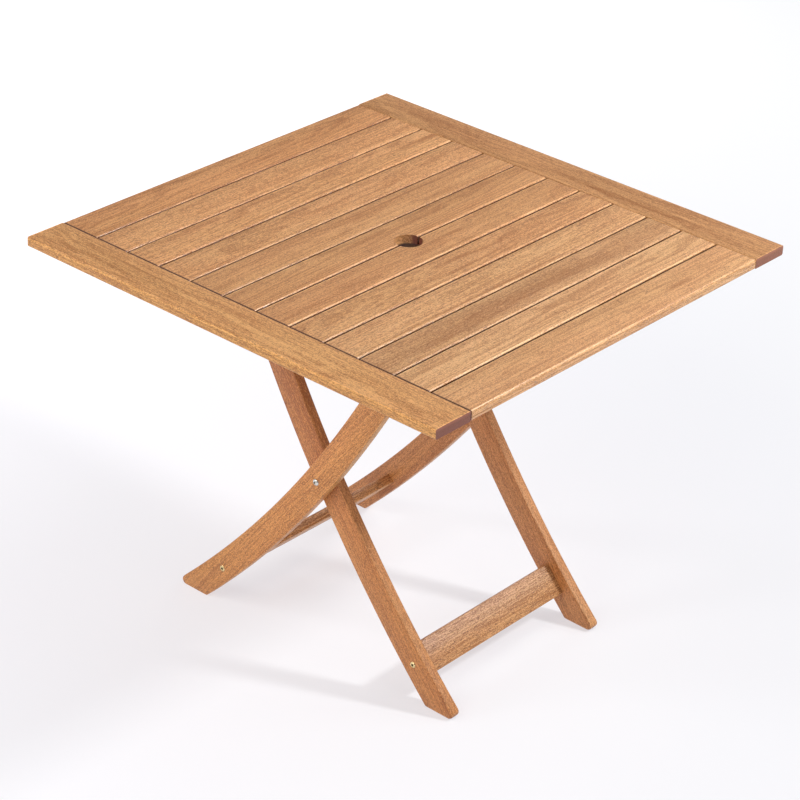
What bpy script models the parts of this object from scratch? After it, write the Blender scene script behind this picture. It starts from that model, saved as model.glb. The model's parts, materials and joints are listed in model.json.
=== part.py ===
"""Square folding garden table: slatted top on two crossed frames of sabre legs.

Metres, +Z up. X runs along the end rails, Y along the slats and the hinge axes.
The origin is on the floor under the middle of the top. "front" is the -Y side.
"""
from math import asin, atan2, cos, hypot, pi, radians, sin, sqrt

import bmesh
import bpy
from mathutils import Matrix, Vector

# ---- driving dimensions ------------------------------------------------------------
TOP_LENGTH = 0.900          # along X, the end rails' length
TOP_WIDTH = 0.892           # along Y, over both end rails
TOP_HEIGHT = 0.724
TOP_THICKNESS = 0.018
RAIL_WIDTH = 0.079
SLAT_COUNT = 12
EDGE_SLAT_WIDTH = 0.080     # the two outermost slats
SLAT_GAP = 0.003
POLE_HOLE = 0.049           # diameter of the parasol hole
EDGE_ROUNDING = 0.0030      # along the top's outer edges
SLAT_ROUNDING = 0.0030      # along the gaps between slats
SEAM_ROUNDING = 0.0012      # along the rails' seams, and round the slats' ends

TONGUE_LENGTH = 0.014
TONGUE_THICKNESS = 0.008
TONGUE_INSET = 0.012        # from the slat's edge to the tongue's edge

PIVOT = (0.007, 0.350)      # X and Z of the axis on which the legs cross
HINGE = (-0.178, 0.670)     # X and Z of the axis between the inner legs and the top
BAR = (0.192, 0.670)        # X and Z of the bar that carries the top's other side
OUTER_LEG_TOP = (0.195, 0.6675)     # X and Z of the middle of an outer leg's rounded end
INNER_FOOT_X = 0.287        # where each leg's centre line meets the floor
OUTER_FOOT_X = -0.292
INNER_LEG_BOW = 0.0025      # what the centre line passes below the pivot axis
OUTER_LEG_BOW = 0.0

LEG_WIDTH = 0.052
LEG_THICKNESS = 0.020
INNER_LEG_FACE = 0.1992     # distance from the middle to the inner legs' outer faces
LEG_SPACE = 0.0023          # between an inner leg and the outer leg beside it
LEG_ROUNDING = 0.0026
TOE_RADIUS = 0.009
LEG_ARC_STEPS = 26
LEG_CAP_STEPS = 12
TOE_STEPS = 7

STRETCHER_WIDTH = 0.059
STRETCHER_THICKNESS = 0.019
STRETCHER_ROUNDING = 0.0025
STRETCHER_REACH = 0.3520    # from the pivot axis to the stretcher's middle
STRETCHER_OFFSET = 0.0045   # from the leg's centre line towards its underside
SCREW_REACH = 0.3515        # the same two, for the screws in the stretcher's ends
SCREW_OFFSET = 0.0016

BATTEN_LENGTH = 0.836
BATTEN_THICKNESS = 0.024
BATTEN_DEPTH = 0.050
BATTEN_ROUNDING = 0.0012
BATTEN_END_SLOPE = 0.030    # length of the slope at each end
BATTEN_END_DEPTH = 0.018    # what the slope leaves of the depth at the tip
RECESS_DEPTH = 0.0263       # the bar's recess, cut up from the batten's underside
RECESS_FROM_HINGE = 0.022   # from the hinge axis to the recess's closed end
BAR_DIAMETER = 0.024

BLOCK_SIZE = (0.216, 0.092, 0.018)
BLOCK_ROUNDING = 0.0015
BLOCK_SCREW_AT = (0.0369, 0.034)

FIT = 0.0003                # gap between pieces that touch
BEVEL_ANGLE = radians(40)   # edges sharper than this are rounded
CUT_MARGIN = 0.010          # how far a cutter starts outside what it cuts
LEG_BORE_LENGTH = 0.040     # right through a leg
BATTEN_BORE_LENGTH = 0.060  # right through a batten

# ---- fasteners' dimensions ---------------------------------------------------------
# head radius, shank radius and length of the countersunk screws
STRETCHER_SCREW = (0.0056, 0.0025, 0.050)
BAR_SCREW = (0.0050, 0.0025, 0.048)
BLOCK_SCREW = (0.0035, 0.0019, 0.028)
SCREW_RIM = 0.0006          # straight edge of the head, above its cone
SCREW_RISE = 0.0008         # what a head stands proud, inside its chamfer
SCREW_CHAMFER = 0.0010
SCREW_TIP = 0.004           # length of the point
SOCKET_WIDTH = 0.0044       # hexagonal sockets, across flats
SOCKET_DEPTH = 0.0035

HINGE_BOLT_RADIUS = 0.004
HINGE_BOLT_HEAD = ((0, 0.0014), (0.0068, 0.0014), (0.0078, 0.0005), (0.0078, 0))
HINGE_BOLT_TAIL = 0.009     # what stands past the batten, for the nut
HINGE_WASHER_RADIUS = 0.0105
HINGE_WASHER_THICKNESS = 0.0015
HINGE_NUT = (0.013, 0.0065)     # across flats and height

PIVOT_BOLT_RADIUS = 0.003
PIVOT_BOLT_HEAD = ((0, 0.0036), (0.0028, 0.0033), (0.0049, 0.0022), (0.0062, 0.0007),
                   (0.0064, 0))
PIVOT_SOCKET_DEPTH = 0.0022
PIVOT_BOLT_TAIL = 0.012     # what stands past the inner leg, for washer and nut
PIVOT_SPACER_RADIUS = 0.0095
PIVOT_WASHER_RADIUS = 0.0085
PIVOT_WASHER_THICKNESS = 0.0014
PIVOT_NUT = (0.010, 0.0050)     # across flats and height
BOLT_CHAMFER = 0.001        # at the bolts' threaded ends

# ---- derived places ----------------------------------------------------------------
TOP_UNDERSIDE = TOP_HEIGHT - TOP_THICKNESS
RAIL_INNER_Y = TOP_WIDTH / 2 - RAIL_WIDTH
SLAT_WIDTH = ((TOP_LENGTH - 2 * EDGE_SLAT_WIDTH - (SLAT_COUNT - 1) * SLAT_GAP)
              / (SLAT_COUNT - 2))
INNER_LEG_BACK_FACE = INNER_LEG_FACE - LEG_THICKNESS
OUTER_LEG_BACK_FACE = INNER_LEG_FACE + LEG_SPACE
OUTER_LEG_FACE = OUTER_LEG_BACK_FACE + LEG_THICKNESS
BATTEN_FACE = INNER_LEG_BACK_FACE - HINGE_WASHER_THICKNESS - 2 * FIT
BATTEN_TOP = TOP_UNDERSIDE - FIT
BATTEN_BOTTOM = TOP_UNDERSIDE - BATTEN_DEPTH
SIDES = {"front": -1, "back": 1}

# ---- finishes ----------------------------------------------------------------------
RAIL_TONE = (0.56, 0.29, 0.135)
LEG_TONE = (0.52, 0.25, 0.115)
STRETCHER_TONE = (0.56, 0.30, 0.15)
HIDDEN_WOOD_TONE = (0.50, 0.26, 0.12)
SLAT_TONES = (
    (0.56, 0.28, 0.13), (0.60, 0.31, 0.15), (0.60, 0.31, 0.15), (0.59, 0.31, 0.15),
    (0.58, 0.30, 0.15), (0.55, 0.28, 0.14), (0.56, 0.29, 0.14), (0.59, 0.31, 0.15),
    (0.64, 0.35, 0.17), (0.54, 0.29, 0.15), (0.68, 0.39, 0.20), (0.67, 0.37, 0.18),
)
BRASS = ((0.80, 0.62, 0.30), 0.30, 1.0)
STEEL = ((0.72, 0.70, 0.66), 0.32, 1.0)


def oiled(tone):
    """Finish of an oiled wood piece: colour, roughness, metallic."""
    return tone, 0.55, 0.0


# ---- helpers -----------------------------------------------------------------------
def clear_scene():
    for obj in list(bpy.data.objects):
        bpy.data.objects.remove(obj, do_unlink=True)


def new_collection(name):
    collection = bpy.data.collections.new(name)
    bpy.context.scene.collection.children.link(collection)
    return collection


def paint(obj, finish):
    """Give the piece a material of its own."""
    colour, roughness, metallic = finish
    material = bpy.data.materials.new(obj.name)
    material.use_nodes = True
    shader = material.node_tree.nodes["Principled BSDF"]
    shader.inputs["Base Color"].default_value = (*colour, 1.0)
    shader.inputs["Roughness"].default_value = roughness
    shader.inputs["Metallic"].default_value = metallic
    obj.data.materials.clear()
    obj.data.materials.append(material)


def keep(obj, finish, parent=None):
    """File a finished piece in the table's collection, hung on its axis if it has one."""
    table.objects.link(obj)
    paint(obj, finish)
    if parent:
        obj.parent = parent
        obj.matrix_parent_inverse = parent.matrix_world.inverted()
    return obj


def keep_cutter(obj):
    cutters.objects.link(obj)
    obj.hide_render = True
    obj.display_type = "WIRE"
    return obj


def axis_empty(name, place):
    """Empty on a joint's axis, given by its X and Z."""
    empty = bpy.data.objects.new(name, None)
    empty.location = (place[0], 0, place[1])
    table.objects.link(empty)
    bpy.context.view_layer.update()
    return empty


def upright(x, y, z, tilt=0.0):
    """Places a local XY outline in the XZ plane, turned about Y by tilt."""
    return (Matrix.Translation((x, y, z)) @ Matrix.Rotation(tilt, 4, "Y")
            @ Matrix.Rotation(pi / 2, 4, "X"))


def along_x(x, y, z):
    """Places a local XY outline in the YZ plane, with its extrusion along X."""
    return (Matrix.Translation((x, y, z)) @ Matrix.Rotation(pi / 2, 4, "Z")
            @ Matrix.Rotation(pi / 2, 4, "X"))


def facing_out(x, y, z, side):
    """Places a local Z axis along Y, pointing away from the table's middle."""
    return Matrix.Translation((x, y, z)) @ Matrix.Rotation(-side * pi / 2, 4, "X")


def arc(centre, radius, start, end, steps):
    """Points from angle start to angle end, both included."""
    angles = [start + (end - start) * i / steps for i in range(steps + 1)]
    return [(centre[0] + radius * cos(a), centre[1] + radius * sin(a)) for a in angles]


def rounded_box(width, height, radii, steps=3):
    """Outline about the origin. radii: lower left, lower right, upper right, upper left."""
    corners = ((-1, -1), (1, -1), (1, 1), (-1, 1))
    outline = []
    for turn, ((sx, sy), radius) in enumerate(zip(corners, radii)):
        centre = (sx * (width / 2 - radius), sy * (height / 2 - radius))
        start = pi + turn * pi / 2
        outline += arc(centre, radius, start, start + pi / 2, steps)
    return outline


def prism(name, outline, length, placed):
    """Closed local XY outline, extruded by length about its plane."""
    curve = bpy.data.curves.new(name, "CURVE")
    curve.dimensions = "2D"
    curve.fill_mode = "BOTH"
    curve.extrude = length / 2
    spline = curve.splines.new("POLY")
    spline.points.add(len(outline) - 1)
    for point, (x, y) in zip(spline.points, outline):
        point.co = (x, y, 0, 1)
    spline.use_cyclic_u = True
    drawn = bpy.data.objects.new(name + "_outline", curve)
    bpy.context.scene.collection.objects.link(drawn)
    drawn.matrix_world = placed
    bpy.context.view_layer.update()
    evaluated = drawn.evaluated_get(bpy.context.evaluated_depsgraph_get())
    mesh = bpy.data.meshes.new_from_object(evaluated)
    bpy.data.objects.remove(drawn)
    weld_prism(mesh)
    mesh.name = name
    obj = bpy.data.objects.new(name, mesh)
    obj.matrix_world = placed
    return obj


def weld_prism(mesh):
    """Join the caps to the sides and make each cap one face."""
    bm = bmesh.new()
    bm.from_mesh(mesh)
    bmesh.ops.remove_doubles(bm, verts=bm.verts, dist=1e-6)
    bmesh.ops.recalc_face_normals(bm, faces=bm.faces)
    for sign in (-1, 1):
        cap = [f for f in bm.faces if f.normal.z * sign > 0.99]
        bmesh.ops.dissolve_faces(bm, faces=cap)
    bm.to_mesh(mesh)
    bm.free()


def turned(name, profile, placed, steps=24, closed=False):
    """Profile of (radius, height) points, down the outer side, spun about local Z."""
    mesh = bpy.data.meshes.new(name)
    count = len(profile)
    edges = [(i, i + 1) for i in range(count - 1)]
    if closed:
        edges.append((count - 1, 0))
    mesh.from_pydata([(r, 0, z) for r, z in profile], edges, [])
    obj = bpy.data.objects.new(name, mesh)
    obj.matrix_world = placed
    screw = obj.modifiers.new("turn", "SCREW")
    screw.steps = steps
    screw.render_steps = steps
    screw.use_merge_vertices = True
    screw.merge_threshold = 1e-6
    screw.use_smooth_shade = True
    return obj


def hexagon(name, across_flats, height, placed):
    """Hexagonal prism standing on the local XY plane."""
    corner = across_flats / sqrt(3)
    outline = arc((0, 0), corner, 0, 5 * pi / 3, 5)
    return prism(name, outline, height, placed @ Matrix.Translation((0, 0, height / 2)))


def rod(name, radius, length, placed, steps=32):
    """Cylinder about local Z, from height 0 down to -length."""
    profile = [(0, 0), (radius, 0), (radius, -length), (0, -length)]
    return turned(name, profile, placed, steps)


def box(name, size, placed):
    """Box about its own middle."""
    mesh = bpy.data.meshes.new(name)
    bm = bmesh.new()
    bmesh.ops.create_cube(bm, size=1.0)
    bmesh.ops.scale(bm, vec=Vector(size), verts=bm.verts)
    bm.to_mesh(mesh)
    bm.free()
    obj = bpy.data.objects.new(name, mesh)
    obj.matrix_world = placed
    return obj


def round_edges(obj, width, segments=2):
    bevel = obj.modifiers.new("rounding", "BEVEL")
    bevel.width = width
    bevel.segments = segments
    bevel.limit_method = "ANGLE"
    bevel.angle_limit = BEVEL_ANGLE
    return obj


def boolean(obj, other, operation):
    modifier = obj.modifiers.new(other.name, "BOOLEAN")
    modifier.operation = operation
    modifier.object = other
    modifier.solver = "EXACT"
    return obj


def bore(obj, name, radius, length, placed):
    """Round hole from local height 0 down to -length."""
    return boolean(obj, keep_cutter(rod(name, radius, length, placed)), "DIFFERENCE")


# ---- the top -----------------------------------------------------------------------
def slat_spans():
    """X limits of each slat, from -X to +X."""
    spans = []
    x = -TOP_LENGTH / 2
    for index in range(SLAT_COUNT):
        outermost = index in (0, SLAT_COUNT - 1)
        width = EDGE_SLAT_WIDTH if outermost else SLAT_WIDTH
        spans.append((x, x + width))
        x += width + SLAT_GAP
    return spans


def build_rails():
    for name, side in SIDES.items():
        middle = side * (TOP_WIDTH - RAIL_WIDTH) / 2
        outer, inner = EDGE_ROUNDING, SEAM_ROUNDING
        radii = (outer, inner, inner, outer) if side < 0 else (inner, outer, outer, inner)
        outline = rounded_box(RAIL_WIDTH, TOP_THICKNESS, radii)
        place = along_x(0, middle, TOP_HEIGHT - TOP_THICKNESS / 2)
        rail = keep(prism("rail_" + name, outline, TOP_LENGTH, place),
                    oiled(RAIL_TONE), top_axis)
        for index, (low, high) in enumerate(slat_spans(), 1):
            width = high - low - 2 * TONGUE_INSET + 2 * FIT
            depth = TONGUE_LENGTH + 2 * FIT
            size = (width, 2 * depth, TONGUE_THICKNESS + 2 * FIT)
            at = ((low + high) / 2, side * RAIL_INNER_Y, TOP_HEIGHT - TOP_THICKNESS / 2)
            mortise = box(f"mortise_{name}_{index:02d}", size, Matrix.Translation(at))
            boolean(rail, keep_cutter(mortise), "DIFFERENCE")


def build_slats():
    length = 2 * (RAIL_INNER_Y - FIT)
    middle = TOP_HEIGHT - TOP_THICKNESS / 2
    pole_length = TOP_THICKNESS + BLOCK_SIZE[2] + 2 * CUT_MARGIN
    pole = keep_cutter(rod("pole_cut", POLE_HOLE / 2, pole_length,
                           Matrix.Translation((0, 0, TOP_HEIGHT + CUT_MARGIN)), 48))
    for index, (low, high) in enumerate(slat_spans(), 1):
        centre = (low + high) / 2
        edges = [SLAT_ROUNDING] * 4
        if index == 1:
            edges[0] = edges[3] = EDGE_ROUNDING
        if index == SLAT_COUNT:
            edges[1] = edges[2] = EDGE_ROUNDING
        slat = prism(f"slat_{index:02d}", rounded_box(high - low, TOP_THICKNESS, edges),
                     length, upright(centre, 0, middle))
        round_edges(slat, SEAM_ROUNDING, 1)
        keep(slat, oiled(SLAT_TONES[index - 1]), top_axis)
        for name, side in SIDES.items():
            tongue = box(f"tongue_{name}_{index:02d}",
                         (high - low - 2 * TONGUE_INSET, 2 * TONGUE_LENGTH, TONGUE_THICKNESS),
                         Matrix.Translation((centre, side * length / 2, middle)))
            boolean(slat, keep_cutter(tongue), "UNION")
        if low < POLE_HOLE / 2 and high > -POLE_HOLE / 2:
            boolean(slat, pole, "DIFFERENCE")
        if abs(centre) < BLOCK_SIZE[0] / 2:
            drill_block_screws(slat, low, high, f"slat_{index:02d}")
    block = box("parasol_block", BLOCK_SIZE,
                Matrix.Translation((0, 0, TOP_UNDERSIDE - FIT - BLOCK_SIZE[2] / 2)))
    keep(round_edges(block, BLOCK_ROUNDING, 1), oiled(HIDDEN_WOOD_TONE), top_axis)
    boolean(block, pole, "DIFFERENCE")
    drill_block_screws(block, -TOP_LENGTH, TOP_LENGTH, "block")


def block_screw_places():
    """Two screws on each side of the parasol hole, heads down."""
    x, y = BLOCK_SCREW_AT
    return [(sx * x, sy * y) for sx in (-1, 1) for sy in (-1, 1)]


def downwards(x, y):
    """Screw frame on the block's underside, local Z pointing down."""
    underside = TOP_UNDERSIDE - FIT - BLOCK_SIZE[2]
    return Matrix.Translation((x, y, underside)) @ Matrix.Rotation(pi, 4, "X")


def drill_block_screws(obj, low, high, name):
    for index, (x, y) in enumerate(block_screw_places()):
        if low < x < high:
            cut_screw_hole(obj, f"{name}_hole_{index}", *BLOCK_SCREW, downwards(x, y))


def build_block_screws():
    for index, (x, y) in enumerate(block_screw_places(), 1):
        screw = wood_screw(f"block_screw_{index}", *BLOCK_SCREW, downwards(x, y))
        keep(screw, STEEL, top_axis)


def batten_outline():
    """Outline in X and Z: a recess for the bar between the hinge end and a shoulder."""
    end = BATTEN_LENGTH / 2
    tip = BATTEN_TOP - BATTEN_END_DEPTH
    recess_top = BATTEN_BOTTOM + RECESS_DEPTH
    recess_start = HINGE[0] + RECESS_FROM_HINGE
    shoulder = BAR[0] + BAR_DIAMETER / 2 + FIT
    return [
        (-end, tip), (-end + BATTEN_END_SLOPE, BATTEN_BOTTOM),
        (recess_start, BATTEN_BOTTOM), (recess_start, recess_top),
        (shoulder, recess_top), (shoulder, BATTEN_BOTTOM),
        (end - BATTEN_END_SLOPE, BATTEN_BOTTOM), (end, tip),
        (end, BATTEN_TOP), (-end, BATTEN_TOP),
    ]


def build_battens():
    for name, side in SIDES.items():
        middle = side * (BATTEN_FACE - BATTEN_THICKNESS / 2)
        batten = prism("batten_" + name, batten_outline(), BATTEN_THICKNESS,
                       upright(0, middle, 0))
        round_edges(batten, BATTEN_ROUNDING, 1)
        bore(batten, "batten_bore_" + name, HINGE_BOLT_RADIUS + FIT, BATTEN_BORE_LENGTH,
             facing_out(HINGE[0], side * (BATTEN_FACE + CUT_MARGIN), HINGE[1], side))
        keep(batten, oiled(HIDDEN_WOOD_TONE), top_axis)


# ---- the legs ----------------------------------------------------------------------
def circle_through(a, b, c):
    """Centre and radius of the circle through three points."""
    ax, ay = a[0] - c[0], a[1] - c[1]
    bx, by = b[0] - c[0], b[1] - c[1]
    d = 2 * (ax * by - ay * bx)
    a2, b2 = ax * ax + ay * ay, bx * bx + by * by
    x = (by * a2 - ay * b2) / d
    y = (ax * b2 - bx * a2) / d
    return (c[0] + x, c[1] + y), hypot(x, y)


class LegShape:
    """Sabre leg about the pivot axis, drawn with its foot at +X and mirrored by side.

    The centre line is the arc through the middle of the rounded top end, a point that
    lies bow from the pivot towards the leg's underside, and the foot.
    """

    def __init__(self, top, foot_x, side, bow):
        self.side = side
        self.top = (side * (top[0] - PIVOT[0]), top[1] - PIVOT[1])
        self.foot = (side * (foot_x - PIVOT[0]), -PIVOT[1])
        across = self.foot[0] - self.top[0]
        down = self.foot[1] - self.top[1]
        length = hypot(across, down)
        waypoint = (bow * down / length, -bow * across / length)
        self.centre, self.radius = circle_through(self.top, waypoint, self.foot)

    def angle_of(self, point):
        return atan2(point[1] - self.centre[1], point[0] - self.centre[0]) % (2 * pi)

    def floor_angle(self, radius):
        """Angle at which the arc of that radius meets the floor."""
        return pi - asin((self.foot[1] - self.centre[1]) / radius)

    def outline(self):
        half = LEG_WIDTH / 2
        start = self.angle_of(self.top)
        under = arc(self.centre, self.radius + half, start,
                    self.floor_angle(self.radius + half), LEG_ARC_STEPS)
        cap = arc(self.top, half, start - pi, start, LEG_CAP_STEPS)
        toe_z = self.foot[1] + TOE_RADIUS
        reach = self.radius - half + TOE_RADIUS
        toe_x = self.centre[0] - sqrt(reach ** 2 - (toe_z - self.centre[1]) ** 2)
        towards = atan2(self.centre[1] - toe_z, self.centre[0] - toe_x)
        toe = arc((toe_x, toe_z), TOE_RADIUS, -pi / 2, towards, TOE_STEPS)
        over = arc(self.centre, self.radius - half, towards + pi, start,
                   LEG_ARC_STEPS)
        points = under + toe + over[1:] + cap[1:-1]
        return [(self.side * x, z) for x, z in points]

    def at_reach(self, distance, offset):
        """World X, Z and tilt of a point below the pivot, offset to the leg's underside."""
        turn = 2 * asin(distance / (2 * self.radius))
        angle = self.angle_of((0, 0)) + turn
        x = self.centre[0] + (self.radius + offset) * cos(angle)
        z = self.centre[1] + (self.radius + offset) * sin(angle)
        return PIVOT[0] + self.side * x, PIVOT[1] + z, -self.side * angle


def build_leg(frame, shape, outer_face, top, top_hole, parent):
    """Both legs of a frame, with their holes."""
    screw_x, screw_z, _ = shape.at_reach(SCREW_REACH, SCREW_OFFSET)
    for name, side in SIDES.items():
        leg_name = f"{frame}_leg_{name}"
        middle = side * (outer_face - LEG_THICKNESS / 2)
        leg = prism(leg_name, shape.outline(), LEG_THICKNESS,
                    upright(PIVOT[0], middle, PIVOT[1]))
        round_edges(leg, LEG_ROUNDING, 2)
        outside = side * (outer_face + CUT_MARGIN)
        bore(leg, leg_name + "_pivot_bore", PIVOT_BOLT_RADIUS + FIT, LEG_BORE_LENGTH,
             facing_out(PIVOT[0], outside, PIVOT[1], side))
        if top_hole:
            bore(leg, leg_name + "_top_bore", top_hole, LEG_BORE_LENGTH,
                 facing_out(top[0], outside, top[1], side))
        else:
            cut_screw_hole(leg, leg_name + "_bar_hole", *BAR_SCREW,
                           facing_out(top[0], side * outer_face, top[1], side))
        cut_screw_hole(leg, leg_name + "_screw_hole", *STRETCHER_SCREW,
                       facing_out(screw_x, side * outer_face, screw_z, side))
        keep(leg, oiled(LEG_TONE), parent)


def build_stretcher(frame, shape, leg_back_face, outer_face, parent):
    x, z, tilt = shape.at_reach(STRETCHER_REACH, STRETCHER_OFFSET)
    screw_x, screw_z, _ = shape.at_reach(SCREW_REACH, SCREW_OFFSET)
    outline = rounded_box(STRETCHER_THICKNESS, STRETCHER_WIDTH,
                          [STRETCHER_ROUNDING] * 4, 2)
    board = prism(frame + "_stretcher", outline, 2 * (leg_back_face - FIT),
                  upright(x, 0, z, tilt))
    for name, side in SIDES.items():
        place = facing_out(screw_x, side * outer_face, screw_z, side)
        cut_screw_hole(board, f"{frame}_stretcher_hole_{name}", *STRETCHER_SCREW, place)
        screw = wood_screw(f"{frame}_stretcher_screw_{name}", *STRETCHER_SCREW, place,
                           with_socket=True)
        keep(screw, BRASS, parent)
    keep(board, oiled(STRETCHER_TONE), parent)


def build_top_bar():
    bar = rod("top_bar", BAR_DIAMETER / 2, 2 * (OUTER_LEG_BACK_FACE - FIT),
              facing_out(BAR[0], OUTER_LEG_BACK_FACE - FIT, BAR[1], 1), 36)
    for name, side in SIDES.items():
        place = facing_out(BAR[0], side * OUTER_LEG_FACE, BAR[1], side)
        cut_screw_hole(bar, "top_bar_hole_" + name, *BAR_SCREW, place)
        screw = wood_screw("top_bar_screw_" + name, *BAR_SCREW, place, with_socket=True)
        keep(screw, BRASS, leg_axis)
    keep(bar, oiled(STRETCHER_TONE), leg_axis)


# ---- fasteners ---------------------------------------------------------------------
def cut_socket(obj, depth, placed):
    """Hexagonal socket, sunk by depth below local height 0."""
    cutter = hexagon(obj.name + "_socket", SOCKET_WIDTH, depth + CUT_MARGIN,
                     placed @ Matrix.Translation((0, 0, -depth)))
    return boolean(obj, keep_cutter(cutter), "DIFFERENCE")


def wood_screw(name, head, shank, length, placed, with_socket=False):
    """Countersunk screw, with the edge of its head at local height 0."""
    cone_end = -SCREW_RIM - (head - shank)
    profile = [(0, SCREW_RISE), (head - SCREW_CHAMFER, SCREW_RISE), (head, 0),
               (head, -SCREW_RIM), (shank, cone_end), (shank, -length + SCREW_TIP),
               (0, -length)]
    screw = turned(name, profile, placed, 20)
    if with_socket:
        cut_socket(screw, SOCKET_DEPTH, placed)
    return screw


def cut_screw_hole(obj, name, head, shank, length, placed):
    """Clearance hole for wood_screw, open at its head."""
    rim = -SCREW_RIM - FIT
    cone_end = rim - (head - shank)
    profile = [(0, CUT_MARGIN), (head + FIT, CUT_MARGIN), (head + FIT, rim),
               (shank + FIT, cone_end), (shank + FIT, -length - FIT), (0, -length - FIT)]
    return boolean(obj, keep_cutter(turned(name, profile, placed, 20)), "DIFFERENCE")


def washer(name, outer, inner, thickness, placed):
    """Ring from local height 0 down to -thickness."""
    profile = [(inner, 0), (outer, 0), (outer, -thickness), (inner, -thickness)]
    return turned(name, profile, placed, 24, closed=True)


def nut(name, across_flats, height, hole, placed):
    """Hexagonal nut from local height 0 down to -height."""
    body = hexagon(name, across_flats, height, placed @ Matrix.Translation((0, 0, -height)))
    return bore(body, name + "_bore", hole, height + 2 * CUT_MARGIN,
                placed @ Matrix.Translation((0, 0, CUT_MARGIN)))


def bolt(name, head, radius, length, placed):
    """Bolt whose head stands on local height 0, with its shank below."""
    profile = [*head, (radius, 0), (radius, -length + BOLT_CHAMFER),
               (radius - BOLT_CHAMFER, -length), (0, -length)]
    return turned(name, profile, placed)


def build_pivots():
    """Bolt through both legs, spacer washer between them, washer and nut inside."""
    hole = PIVOT_BOLT_RADIUS + FIT
    length = OUTER_LEG_FACE - INNER_LEG_BACK_FACE + PIVOT_BOLT_TAIL
    nut_face = INNER_LEG_BACK_FACE - 2 * FIT - PIVOT_WASHER_THICKNESS
    for name, side in SIDES.items():
        def at(y):
            return facing_out(PIVOT[0], side * y, PIVOT[1], side)
        pivot = bolt("pivot_bolt_" + name, PIVOT_BOLT_HEAD, PIVOT_BOLT_RADIUS, length,
                     at(OUTER_LEG_FACE + FIT))
        head_top = OUTER_LEG_FACE + FIT + PIVOT_BOLT_HEAD[0][1]
        cut_socket(pivot, PIVOT_SOCKET_DEPTH, at(head_top))
        keep(pivot, STEEL, leg_axis)
        keep(washer("pivot_spacer_" + name, PIVOT_SPACER_RADIUS, hole, LEG_SPACE - 2 * FIT,
                    at(OUTER_LEG_BACK_FACE - FIT)), STEEL, leg_axis)
        keep(washer("pivot_washer_" + name, PIVOT_WASHER_RADIUS, hole,
                    PIVOT_WASHER_THICKNESS, at(INNER_LEG_BACK_FACE - FIT)), STEEL, leg_axis)
        keep(nut("pivot_nut_" + name, *PIVOT_NUT, hole, at(nut_face)), STEEL, leg_axis)


def build_hinges():
    """Bolt from the inner leg's outer face into the batten, with washer and nut."""
    hole = HINGE_BOLT_RADIUS + FIT
    batten_back = BATTEN_FACE - BATTEN_THICKNESS
    length = INNER_LEG_FACE - batten_back + HINGE_BOLT_TAIL
    for name, side in SIDES.items():
        def at(y):
            return facing_out(HINGE[0], side * y, HINGE[1], side)
        keep(bolt("hinge_bolt_" + name, HINGE_BOLT_HEAD, HINGE_BOLT_RADIUS, length,
                  at(INNER_LEG_FACE + FIT)), STEEL, top_axis)
        keep(washer("hinge_washer_" + name, HINGE_WASHER_RADIUS, hole,
                    HINGE_WASHER_THICKNESS, at(INNER_LEG_BACK_FACE - FIT)), STEEL, top_axis)
        keep(nut("hinge_nut_" + name, *HINGE_NUT, hole, at(batten_back - FIT)),
             STEEL, top_axis)


# ---- assembly ----------------------------------------------------------------------
clear_scene()
table = new_collection("folding_picnic_table")
cutters = new_collection("cutters")
leg_axis = axis_empty("leg_axis", PIVOT)
top_axis = axis_empty("top_axis", HINGE)

inner_shape = LegShape(HINGE, INNER_FOOT_X, 1, INNER_LEG_BOW)
outer_shape = LegShape(OUTER_LEG_TOP, OUTER_FOOT_X, -1, OUTER_LEG_BOW)

build_rails()
build_slats()
build_block_screws()
build_battens()
build_leg("inner", inner_shape, INNER_LEG_FACE, HINGE, HINGE_BOLT_RADIUS + FIT, leg_axis)
build_leg("outer", outer_shape, OUTER_LEG_FACE, BAR, None, leg_axis)
build_stretcher("inner", inner_shape, INNER_LEG_BACK_FACE, INNER_LEG_FACE, leg_axis)
build_stretcher("outer", outer_shape, OUTER_LEG_BACK_FACE, OUTER_LEG_FACE, leg_axis)
build_top_bar()
build_pivots()
build_hinges()
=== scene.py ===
"""Looks of the folding picnic table: oiled hardwood with brass and zinc-plated fasteners.

Metres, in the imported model's frame: X along the end rails, Y along the slats, Z up.
"""
import json
from math import atan2, cos, pi, radians, sin

import bmesh
import bpy
from mathutils import Matrix, Vector


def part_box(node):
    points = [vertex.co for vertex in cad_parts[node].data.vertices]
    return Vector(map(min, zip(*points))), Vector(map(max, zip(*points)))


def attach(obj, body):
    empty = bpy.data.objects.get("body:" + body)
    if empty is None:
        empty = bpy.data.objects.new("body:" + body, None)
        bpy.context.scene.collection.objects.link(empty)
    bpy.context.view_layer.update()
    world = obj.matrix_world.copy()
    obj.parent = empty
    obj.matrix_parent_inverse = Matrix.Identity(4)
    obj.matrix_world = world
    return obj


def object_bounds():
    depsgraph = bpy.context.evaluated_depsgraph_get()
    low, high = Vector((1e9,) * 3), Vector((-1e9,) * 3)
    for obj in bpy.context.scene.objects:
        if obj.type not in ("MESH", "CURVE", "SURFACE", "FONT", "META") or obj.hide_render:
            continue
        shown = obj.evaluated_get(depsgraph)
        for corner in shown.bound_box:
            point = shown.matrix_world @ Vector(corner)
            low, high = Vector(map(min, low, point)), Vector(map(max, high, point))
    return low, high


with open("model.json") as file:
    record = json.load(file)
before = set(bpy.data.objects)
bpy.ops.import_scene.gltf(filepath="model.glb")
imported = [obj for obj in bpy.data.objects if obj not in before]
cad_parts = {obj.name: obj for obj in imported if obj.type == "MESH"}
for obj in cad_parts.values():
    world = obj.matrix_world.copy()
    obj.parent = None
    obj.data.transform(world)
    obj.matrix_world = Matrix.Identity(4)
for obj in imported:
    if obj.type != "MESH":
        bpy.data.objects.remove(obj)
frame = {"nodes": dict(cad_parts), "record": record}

CAD_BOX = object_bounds()
NODES = frame["nodes"]
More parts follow.
